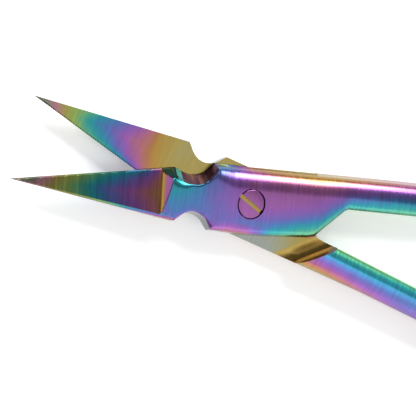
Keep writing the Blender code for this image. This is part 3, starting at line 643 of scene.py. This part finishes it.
def coated_steel(name, roughness, film=None, turn=0.0):
    """Rainbow vapour coat over brushed steel. The film comes from the mesh, or from a drift along X."""
    mat, tree, shader = new_material(name)
    shader.inputs["Metallic"].default_value = 1.0
    shader.inputs["Anisotropic"].default_value = 0.25
    shader.inputs["Coat Weight"].default_value = OIL
    shader.inputs["Coat Roughness"].default_value = 0.22
    place = node(tree, "ShaderNodeTexCoord").outputs["Object"]
    stretched = node(tree, "ShaderNodeMapping", vector_type="TEXTURE", Vector=place,
                     Rotation=(0, 0, turn), Scale=BRUSH_LENGTH)
    cloud = noise(tree, place, 420, 3)
    grain = noise(tree, stretched.outputs[0], 9, 4)
    level = ranged(tree, grain, 0.86, 1.14, 0.3, 0.7)
    if film is None:
        phase = node(tree, "ShaderNodeAttribute", attribute_name="film").outputs["Fac"]
        # The shade attribute holds painted shade and painted light; it scales the coat's colour and the oil
        # coat's weight
        shade = node(tree, "ShaderNodeAttribute", attribute_name="shade").outputs["Fac"]
        level = maths(tree, "MULTIPLY", shade, level)
        oil = maths(tree, "MULTIPLY", shade, OIL, use_clamp=True)
        tree.links.new(oil, shader.inputs["Coat Weight"])
    else:
        split = node(tree, "ShaderNodeSeparateXYZ", Vector=place)
        phase = maths(tree, "MULTIPLY_ADD", split.outputs["X"], film[1], film[0])
    patchy = maths(tree, "MULTIPLY_ADD", cloud, FILM_WANDER, phase)
    lined = maths(tree, "MULTIPLY_ADD", grain, FILM_WANDER, patchy)
    colour = coat_colour(tree, maths(tree, "SUBTRACT", lined, FILM_WANDER))
    scaled = node(tree, "ShaderNodeVectorMath", operation="SCALE", Scale=level)
    tree.links.new(colour, scaled.inputs[0])
    tree.links.new(scaled.outputs[0], shader.inputs["Base Color"])
    tree.links.new(ranged(tree, grain, roughness - 0.07, roughness + 0.07), shader.inputs["Roughness"])
    tree.links.new(relief(tree, grain, 0.08, 0.02 * MM), shader.inputs["Normal"])
    return mat


def moulded(name, colour, roughness, scale, strength):
    """Moulded rubber or nylon: a fine skin texture, a little uneven in colour and gloss."""
    mat, tree, shader = new_material(name)
    skin = noise(tree, node(tree, "ShaderNodeTexCoord").outputs["Object"], scale, 5)
    tint = node(tree, "ShaderNodeValToRGB", Fac=skin)
    tint.color_ramp.elements[0].color = (*[0.75 * c for c in colour], 1)
    tint.color_ramp.elements[1].color = (*[1.3 * c for c in colour], 1)
    tree.links.new(tint.outputs["Color"], shader.inputs["Base Color"])
    tree.links.new(ranged(tree, skin, roughness - 0.1, roughness + 0.1), shader.inputs["Roughness"])
    tree.links.new(relief(tree, skin, strength, 0.03 * MM), shader.inputs["Normal"])
    return mat


def local_to_frame(side):
    """Placement of a half: the back one is turned over about X, then opened about Z."""
    if side == "front":
        return Matrix.Translation((0, 0, FULL_DROP))
    opening = Matrix.Rotation(-REST_OPENING, 4, "Z")
    return opening @ Matrix.Translation((0, 0, HALF_THICKNESS)) @ Matrix.Rotation(math.pi, 4, "X")


def turned_mesh(name, profile, steps):
    """A closed turned ring from its profile, made directly."""
    rings = []
    for k in range(steps):
        angle = 2 * math.pi * k / steps
        rings.append([(r * math.cos(angle), r * math.sin(angle), z) for r, z in profile])
    count = len(profile)
    faces = []
    for k in range(steps):
        for j in range(count):
            a, b = k * count + j, k * count + (j + 1) % count
            c = (k + 1) % steps * count
            faces.append((a, b, c + (j + 1) % count, c + j))
    mesh = bpy.data.meshes.new(name)
    mesh.from_pydata([p for ring in rings for p in ring], [], faces)
    outward(mesh)
    return mesh


def outward(mesh):
    form = bmesh.new()
    form.from_mesh(mesh)
    bmesh.ops.recalc_face_normals(form, faces=form.faces)
    form.to_mesh(mesh)
    form.free()


def disc_mesh(name, radius, low, high, steps):
    """A plain cylinder cutter on the Z axis."""
    form = bmesh.new()
    bmesh.ops.create_cone(form, cap_ends=True, segments=steps, radius1=radius, radius2=radius,
                          depth=high - low)
    bmesh.ops.translate(form, verts=form.verts, vec=(0, 0, 0.5 * (low + high)))
    mesh = bpy.data.meshes.new(name)
    form.to_mesh(mesh)
    form.free()
    return mesh


def boolean(item, mesh, place, operation):
    """Join or cut an object with a mesh at a place, at once."""
    tool = bpy.data.objects.new("tool", mesh)
    bpy.context.scene.collection.objects.link(tool)
    tool.matrix_world = place
    step = item.modifiers.new("step", "BOOLEAN")
    step.operation = operation
    step.object = tool
    step.solver = "EXACT"
    bpy.context.view_layer.update()
    made = bpy.data.meshes.new_from_object(item.evaluated_get(bpy.context.evaluated_depsgraph_get()))
    item.modifiers.clear()
    item.data = made
    bpy.data.objects.remove(tool)


def crease_columns(side, lines, low_x, high_x, v):
    """Shift the columns of a blade section so that two of them lie on its two creases."""
    if high_x > -FACET_END + 0.5 * MM:
        return v
    low, high = side_at(lines[0], low_x), side_at(lines[2], high_x)
    width = max(high - low, THINNEST)
    spine, chamfer = spine_sizes(low_x)
    slope = (spine - BEVEL_HEIGHT) / width
    back = chamfer / (CHAMFER_SLOPE + slope) / width
    front = (BEVEL_HEIGHT - EDGE_LAND) / (BEVEL_HEIGHT / BEVEL_WIDTH - slope) / width
    if back > 0.4 or front > 0.4 or front < 0:
        return v
    count = len(v)
    third = count // 5
    keys = [0, third, count - 1 - third, count - 1]
    return np.interp(np.arange(count), keys, [0, back, 1 - front, 1])


def fine_half_mesh(name, side):
    """The loft of part.py at a fine step, with the serration of the back half's edge."""
    lines = outlines(side)
    lower_in, lower_out, upper_in, upper_out = lines
    blade = [(x, x) for x in np.arange(-TIP_REACH + 0.12 * MM, -FACET_END, SERRATION_PITCH / len(TOOTH))]
    run_out = [(x, x) for x in np.linspace(-FACET_END, -NOTCH_END, RUN_OUT_ROWS)[:-1]]
    pairs = blade + run_out + spread(stations(side, GROOVE_ROWS), ROW_STEP)
    pairs += [(x, x) for x in np.linspace(STRAIGHT_START, RING_X - SHANK_END, SHANK_ROWS)[1:]]
    even = 0.5 - 0.5 * np.cos(np.linspace(0, math.pi, COLUMNS))
    rings = []
    for k, (low_x, high_x) in enumerate(pairs):
        v = crease_columns(side, lines, low_x, high_x, even)
        taper = max(0.0, (low_x - THIN_START) / (RING_X - THIN_START)) * SHANK_THINNING
        x = low_x + (high_x - low_x) * v
        y_out = side_at(lower_out, low_x) * (1 - v) + side_at(upper_out, high_x) * v
        y_in = side_at(lower_in, low_x) * (1 - v) + side_at(upper_in, high_x) * v
        centre = 0.5 * (y_in[0] + y_in[-1])
        squeeze = 1 - taper / (y_in[-1] - y_in[0])
        y_out = centre + (y_out - centre) * squeeze
        y_in = centre + (y_in - centre) * squeeze
        z_out = outer_height(side, lines, x, y_out) - 0.5 * taper
        z_in = inner_height(lines, x, y_in) + 0.5 * taper
        if side == "back" and low_x < -HEEL_REACH - 0.5 * MM:
            tooth = SERRATION_DEPTH * TOOTH[k % len(TOOTH)] * v ** TOOTH_FADE
            y_out = y_out - tooth
            y_in = y_in - tooth
        outer = np.column_stack([x, y_out, z_out])
        inner = np.column_stack([x, y_in, z_in])
        rings.append(np.vstack([outer, inner[::-1]]))
    return loft(name, rings)


def rest_place():
    """Place of the finger rest's root in the front half: X runs out along its stem."""
    return Matrix.Translation((RING_X, RING_Y, MIDDLE)) @ Matrix.Rotation(REST_ANGLE, 4, "Z")


def bumper_place():
    """Place of the rubber stop in the front half: Z runs along its stem, into the ring."""
    return Matrix.Translation((RING_X, 0, MIDDLE)) @ Matrix.Rotation(-math.pi / 2, 4, "X")


def cut_hole(item, radius, low, high, steps, place=Matrix.Identity(4)):
    boolean(item, disc_mesh("hole", radius, low, high, steps), place, "DIFFERENCE")


def make_fine_half(side, mat):
    """A fine half with its ring, its pivot seat and the holes of what is fixed in it."""
    name = side + "_half"
    item = bpy.data.objects.new(name + "_fine", fine_half_mesh(name + "_fine", side))
    bpy.context.scene.collection.objects.link(item)
    profile = rounded_profile(RING_BORE, RING_RADIUS, -FULL_DROP, HALF_THICKNESS, RING_ROUND, 8)
    ring = turned_mesh("ring", profile, RING_STEPS)
    boolean(item, ring, Matrix.Translation((RING_X, RING_Y, 0)), "UNION")
    cut_hole(item, SCREW_RADIUS + FIT_GAP, -HALF_THICKNESS, 2 * HALF_THICKNESS, 64)
    if side == "front":
        seat = HALF_THICKNESS - HEAD_SINK - HEAD_HEIGHT - FIT_GAP
        cut_hole(item, HEAD_RADIUS + SEAT_GAP, seat, 2 * HALF_THICKNESS, 128)
        cut_hole(item, GLIDE_RADIUS + FIT_GAP, -HALF_THICKNESS, GLIDE_RECESS, 96)
        top = RING_Y - RING_RADIUS + BUMPER_STEM_LENGTH + FIT_GAP
        cut_hole(item, BUMPER_STEM_RADIUS + FIT_GAP, -2 * MM, top, 32, bumper_place())
        start = RING_RADIUS + FIT_GAP
        cut_hole(item, REST_STEM_RADIUS + FIT_GAP, start - REST_STEM_DEPTH - FIT_GAP, start + 2.0 * MM, 32,
                 rest_place() @ Matrix.Rotation(math.pi / 2, 4, "Y"))
    item.data.shade_smooth()
    item.data.set_sharp_from_angle(angle=SHARP_HALF)
    coat_half(side, item.data)
    item.data.materials.clear()
    item.data.materials.append(mat)
    item.data.transform(local_to_frame(side))
    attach(item, side)
    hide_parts(name)


def place_fine(name, mesh, place, body, mat, sharp=35):
    """Show a fine piece in place of its CAD node."""
    mesh.transform(place)
    item = bpy.data.objects.new(name + "_fine", mesh)
    bpy.context.scene.collection.objects.link(item)
    settle(item, mat, sharp)
    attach(item, body)
    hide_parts(name)
    return item


def settle(item, mat, sharp):
    item.data.materials.clear()
    item.data.materials.append(mat)
    item.data.shade_smooth()
    item.data.set_sharp_from_angle(angle=math.radians(sharp))


def spun_mesh(name, profile, steps):
    """A turned solid whose profile starts and ends on the axis."""
    mesh = turned_mesh(name, profile, steps)
    form = bmesh.new()
    form.from_mesh(mesh)
    bmesh.ops.remove_doubles(form, verts=form.verts, dist=0.0001 * MM)
    bmesh.ops.recalc_face_normals(form, faces=form.faces)
    form.to_mesh(mesh)
    form.free()
    return mesh


def arc(x, z, radius, start, end, count=6):
    """Points of an arc in a profile, with its angles in degrees."""
    return [(x + radius * math.cos(math.radians(a)), z + radius * math.sin(math.radians(a)))
            for a in np.linspace(start, end, count)]


def make_fine_screw(mat):
    """Slotted screw: purple head with a gold slot, where the coat stays thin."""
    top = FULL_DROP + HALF_THICKNESS - HEAD_SINK
    under = top - HEAD_HEIGHT
    profile = [(0, top)] + arc(HEAD_RADIUS - HEAD_BREAK, top - HEAD_BREAK, HEAD_BREAK, 90, 0)
    profile += [(HEAD_RADIUS, under), (SCREW_RADIUS, under), (SCREW_RADIUS, SCREW_END_BREAK),
                (SCREW_RADIUS - SCREW_END_BREAK, 0), (0, 0)]
    mesh = spun_mesh("pivot_screw_fine", profile, 160)
    item = place_fine("pivot_screw", mesh, Matrix.Identity(4), "screw", mat)
    form = bmesh.new()
    bmesh.ops.create_cube(form, size=1)
    bmesh.ops.scale(form, verts=form.verts, vec=(4 * HEAD_RADIUS, SLOT_WIDTH, 2 * SLOT_DEPTH))
    slot = bpy.data.meshes.new("slot")
    form.to_mesh(slot)
    form.free()
    boolean(item, slot, Matrix.Translation((0, 0, top)) @ Matrix.Rotation(SLOT_ANGLE, 4, "Z"), "DIFFERENCE")
    settle(item, mat, 35)
    mesh = item.data
    in_slot = [max(mesh.vertices[v].co.z for v in face.vertices) < top - 0.5 * SLOT_DEPTH
               for face in mesh.polygons for v in face.vertices]
    store(mesh, "film", np.where(in_slot, 0.03, 0.30))
    store(mesh, "shade", np.ones(len(in_slot)))


def make_fine_rest(mat):
    """The little finger's tang with its ball end and stem."""
    start = RING_RADIUS + FIT_GAP
    route = curve_through([(start + share * REST_LENGTH, bend) for share, bend in REST_ROUTE], 16)
    along = np.gradient(route, axis=0)
    turns = np.linspace(0, 2 * math.pi, 41)[:-1]
    rings = []
    for k, ((x, y), (dx, dy)) in enumerate(zip(route, along)):
        radius = REST_RADIUS * (0.8 + 0.45 * (k / (len(route) - 1)) ** 2)
        out = radius * np.cos(turns) / np.hypot(dx, dy)
        rings.append(np.column_stack([x - dy * out, y + dx * out, radius * np.sin(turns)]))
    mesh = loft("finger_rest_fine", rings)
    home = local_to_frame("front") @ rest_place()
    item = place_fine("finger_rest", mesh, home, "front", mat, 50)
    form = bmesh.new()
    bmesh.ops.create_uvsphere(form, u_segments=48, v_segments=24, radius=REST_BALL * REST_RADIUS)
    ball = bpy.data.meshes.new("ball")
    form.to_mesh(ball)
    form.free()
    end = Matrix.Translation((*route[-1], 0))
    boolean(item, ball, home @ end, "UNION")
    stem = disc_mesh("stem", REST_STEM_RADIUS, start - REST_STEM_DEPTH, start + 1.0 * MM, 48)
    boolean(item, stem, home @ Matrix.Rotation(math.pi / 2, 4, "Y"), "UNION")
    settle(item, mat, 50)


def make_fine_bumper(mat):
    """Rubber stop with rounded edges, its stem in the front ring."""
    ring_side = RING_Y - RING_RADIUS
    head_top, tip = ring_side - BUMPER_SEAT, FIT_GAP - ring_side
    stem_top = ring_side + BUMPER_STEM_LENGTH
    core = BUMPER_RADIUS - BUMPER_ROUND
    profile = [(0, stem_top), (BUMPER_STEM_RADIUS, stem_top), (BUMPER_STEM_RADIUS, head_top)]
    profile += arc(BUMPER_RADIUS - BUMPER_BREAK, head_top - BUMPER_BREAK, BUMPER_BREAK, 90, 0)
    profile += arc(core, tip + BUMPER_ROUND, BUMPER_ROUND, 0, -90) + [(0, tip)]
    mesh = spun_mesh("stop_bumper_fine", profile, 64)
    place_fine("stop_bumper", mesh, local_to_frame("front") @ bumper_place(), "front", mat)


def make_fine_insert(name, side, mat):
    """Soft sizing ring inside a finger ring."""
    outer = RING_BORE - INSERT_GAP
    half_height = 0.5 * THICKNESS - INSERT_INSET
    profile = rounded_profile(outer - INSERT_WALL, outer, -half_height, half_height, INSERT_ROUND, 8)
    centre = Matrix.Translation((RING_X, RING_Y, MIDDLE))
    place_fine(name, turned_mesh(name + "_fine", profile, RING_STEPS), local_to_frame(side) @ centre, side,
               mat)


def camera():
    """The photograph's viewing angle: a long lens, tipped 25 degrees off the pivot axis."""
    back = Vector((-0.4145, 0.1089, 0.903)).normalized()
    right = Vector((0.9056, 0.1457, 0.398))
    right = (right - back * right.dot(back)).normalized()
    up = back.cross(right)
    aim = Vector((0, 0, 2.2 * MM)) - 5.49 * MM * right - 0.9 * MM * up
    lens = bpy.data.cameras.new("camera")
    lens.lens = 135
    lens.sensor_width = 36
    spot = aim + back * 61.4 * MM * lens.lens / lens.sensor_width
    item = bpy.data.objects.new("camera", lens)
    bpy.context.scene.collection.objects.link(item)
    item.matrix_world = Matrix((right, up, back)).transposed().to_4x4()
    item.location = spot
    lens.clip_start = 0.005
    bpy.context.scene.camera = item


def soft_box(name, direction, distance, size, power):
    """A square area light that faces the object from a direction."""
    light = bpy.data.lights.new(name, "AREA")
    light.shape = "RECTANGLE"
    light.size, light.size_y = size
    light.energy = power
    item = bpy.data.objects.new(name, light)
    bpy.context.scene.collection.objects.link(item)
    aim = Vector(direction).normalized()
    item.location = aim * distance
    item.rotation_mode = "QUATERNION"
    item.rotation_quaternion = aim.to_track_quat("Z", "Y")


def studio():
    """Plain pale floor under soft studio light."""
    bpy.context.scene.view_settings.view_transform = "Standard"
    world = bpy.data.worlds.new("studio")
    world.use_nodes = True
    world.node_tree.nodes["Background"].inputs["Color"].default_value = (1, 1, 1, 1)
    world.node_tree.nodes["Background"].inputs["Strength"].default_value = WORLD_LIGHT
    bpy.context.scene.world = world
    for box in SOFT_BOXES:
        soft_box(*box)
    bpy.ops.mesh.primitive_plane_add(size=3.0, location=(0, 0, CAD_BOX[0][2] - 0.02 * MM))
    floor = bpy.context.active_object
    floor.name = "floor"
    mat, _, shader = new_material("floor_paper")
    shader.inputs["Base Color"].default_value = (0.93, 0.93, 0.93, 1)
    shader.inputs["Emission Color"].default_value = (1, 1, 1, 1)
    shader.inputs["Emission Strength"].default_value = 0.25
    shader.inputs["Roughness"].default_value = 0.9
    floor.data.materials.append(mat)


def main():
    camera()
    studio()
    brushed = coated_steel("back_coat", 0.24, turn=-REST_OPENING)
    satin = coated_steel("front_coat", 0.26)
    screw = coated_steel("screw_coat", 0.28)
    rest = coated_steel("rest_coat", 0.30, film=(2.09, -21.8))
    rubber = moulded("rubber", (0.022, 0.022, 0.025), 0.6, 2600, 0.5)
    nylon = moulded("nylon", (0.62, 0.61, 0.57), 0.45, 1800, 0.3)
    make_fine_half("front", satin)
    make_fine_half("back", brushed)
    make_fine_screw(screw)
    make_fine_rest(rest)
    make_fine_bumper(rubber)
    make_fine_insert("finger_ring_insert", "front", rubber)
    make_fine_insert("thumb_ring_insert", "back", rubber)
    settle(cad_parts["glide_washer"], nylon, 35)


main()
